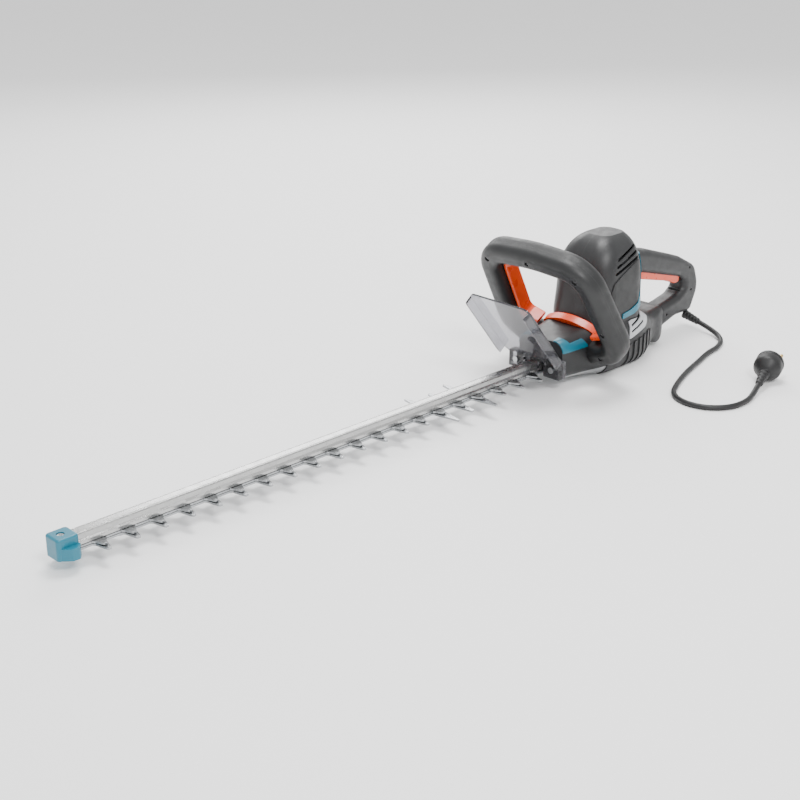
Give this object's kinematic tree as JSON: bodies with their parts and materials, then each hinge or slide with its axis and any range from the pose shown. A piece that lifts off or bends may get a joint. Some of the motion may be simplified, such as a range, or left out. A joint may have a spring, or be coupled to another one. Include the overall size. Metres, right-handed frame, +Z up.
{
  "type": "electric hedge trimmer",
  "caption": "Mains hedge trimmer with a long double-sided blade under a guide rail, clear hand guard, front loop handle, upright motor housing and rear D handle.",
  "frame": {"origin": "on the ground under the middle of the tool, halfway between the blade tip and the rear handle, on the plane of symmetry", "axes": "+X from the blade tip to the rear handle, +Z up, Y = 0 is the plane of symmetry; the ground is the flat underside of the ribbed sled"},
  "size_m": [1.0538, 0.3369, 0.1923],
  "materials": {
    "dark_plastic": "fine-textured moulded nylon",
    "grip_plastic": "soft textured grip",
    "orange_plastic": "satin moulded plastic",
    "teal_plastic": "satin moulded plastic",
    "silver_plastic": "painted silver plastic",
    "guard_plastic": "smoke-tinted clear plastic",
    "rail_aluminium": "drawn and anodised",
    "blade_steel": "ground steel",
    "screw_steel": "zinc plated",
    "gear_steel": "machined steel",
    "cast_alloy": "die cast",
    "motor_iron": "stacked laminations",
    "copper_wire": "enamelled copper",
    "brass_metal": "pressed brass",
    "black_rubber": "matt rubber",
    "black_plastic": "moulded plastic",
    "carbon": "pressed carbon"
  },
  "bodies": {
    "trimmer": {"base_sled": "dark_plastic", "bearing_bridge": "black_plastic", "blade_bolt_nuts": "screw_steel", "blade_bolt_spacers": "gear_steel", "blade_bolt_washers": "screw_steel", "blade_bolts": "screw_steel", "blade_guide_rail": "rail_aluminium", "blade_support_bar": "gear_steel", "brush_holders": "brass_metal", "carbon_brushes": "carbon", "cord_strain_relief": "black_rubber", "exhaust_louvre_left": "silver_plastic", "exhaust_louvre_right": "silver_plastic", "field_windings": "copper_wire", "front_arch_trim": "orange_plastic", "front_bar_springs": "screw_steel", "front_handle_front_shell": "grip_plastic", "front_handle_rear_shell": "grip_plastic", "front_handle_screws": "screw_steel", "front_switch": "black_plastic", "gear_base_plate": "cast_alloy", "gear_frame": "cast_alloy", "gear_housing_cover": "dark_plastic", "gear_shaft_bushes": "brass_metal", "hand_guard": "guard_plastic", "hand_guard_screws": "screw_steel", "handle_screws": "screw_steel", "mains_cord": "black_rubber", "mains_plug": "black_rubber", "motor_bearings": "screw_steel", "motor_housing_left": "dark_plastic", "motor_housing_right": "dark_plastic", "motor_side_panel_left": "grip_plastic", "motor_side_panel_right": "grip_plastic", "motor_side_stripe_left": "teal_plastic", "motor_side_stripe_right": "teal_plastic", "motor_stator": "motor_iron", "nose_trims": "teal_plastic", "plug_pins": "brass_metal", "rear_handle_left": "dark_plastic", "rear_handle_right": "dark_plastic", "rear_switch": "black_plastic", "tip_guard": "teal_plastic", "tip_guard_screw": "screw_steel", "trigger_pin": "screw_steel", "trigger_spring": "screw_steel"},
    "blade_drive": {"drive_gear": "gear_steel", "gear_shaft": "gear_steel", "upper_eccentric": "gear_steel", "lower_eccentric": "gear_steel"},
    "upper_blade_body": {"upper_blade": "blade_steel"},
    "lower_blade_body": {"lower_blade": "blade_steel"},
    "rotor": {"rotor_shaft": "gear_steel", "motor_pinion": "gear_steel", "motor_armature": "motor_iron", "commutator": "brass_metal", "cooling_fan": "black_plastic"},
    "rear_trigger_body": {"rear_trigger": "orange_plastic"},
    "plunger": {"switch_plunger": "black_plastic"},
    "front_bar": {"front_switch_bar": "orange_plastic"}
  },
  "joints": [
    {"name": "drive_gear_spin", "type": "hinge", "parent": "trimmer", "child": "blade_drive", "pos_m": [0.262, 0, 0.032], "axis": [0, 0, 1], "range_deg": [-90, 90]},
    {"name": "upper_blade_slide", "type": "slide", "parent": "trimmer", "child": "upper_blade_body", "axis": [1, 0, 0], "range_m": [-0.0083, 0.0083]},
    {"name": "lower_blade_slide", "type": "slide", "parent": "trimmer", "child": "lower_blade_body", "axis": [1, 0, 0], "range_m": [-0.0083, 0.0083]},
    {"name": "rotor_spin", "type": "hinge", "parent": "trimmer", "child": "rotor", "pos_m": [0.307, 0, 0.09], "axis": [0, 0, 1], "range_deg": [-451, 451]},
    {"name": "rear_trigger_pull", "type": "hinge", "parent": "trimmer", "child": "rear_trigger_body", "pos_m": [0.38, 0, 0.119], "axis": [0, 1, 0], "range_deg": [-4, 0], "stiffness_Nm_per_rad": 6, "springref_deg": 3.44, "deforming": ["trigger_spring"]},
    {"name": "switch_plunger_push", "type": "slide", "parent": "trimmer", "child": "plunger", "axis": [0, 0, 1], "range_m": [0, 0.0023]},
    {"name": "front_bar_press", "type": "slide", "parent": "trimmer", "child": "front_bar", "axis": [-0.866, 0, -0.5], "range_m": [0, 0.003], "stiffness_N_per_m": 900, "springref_m": -0.004, "deforming": ["front_bar_springs"]}
  ],
  "couplings": [
    {"joint": "upper_blade_slide", "follows": "drive_gear_spin", "m_per_rad": -0.00522},
    {"joint": "lower_blade_slide", "follows": "drive_gear_spin", "m_per_rad": 0.00522},
    {"joint": "rotor_spin", "follows": "drive_gear_spin", "ratio": -5},
    {"joint": "switch_plunger_push", "follows": "rear_trigger_pull", "m_per_rad": -0.03}
  ]
}
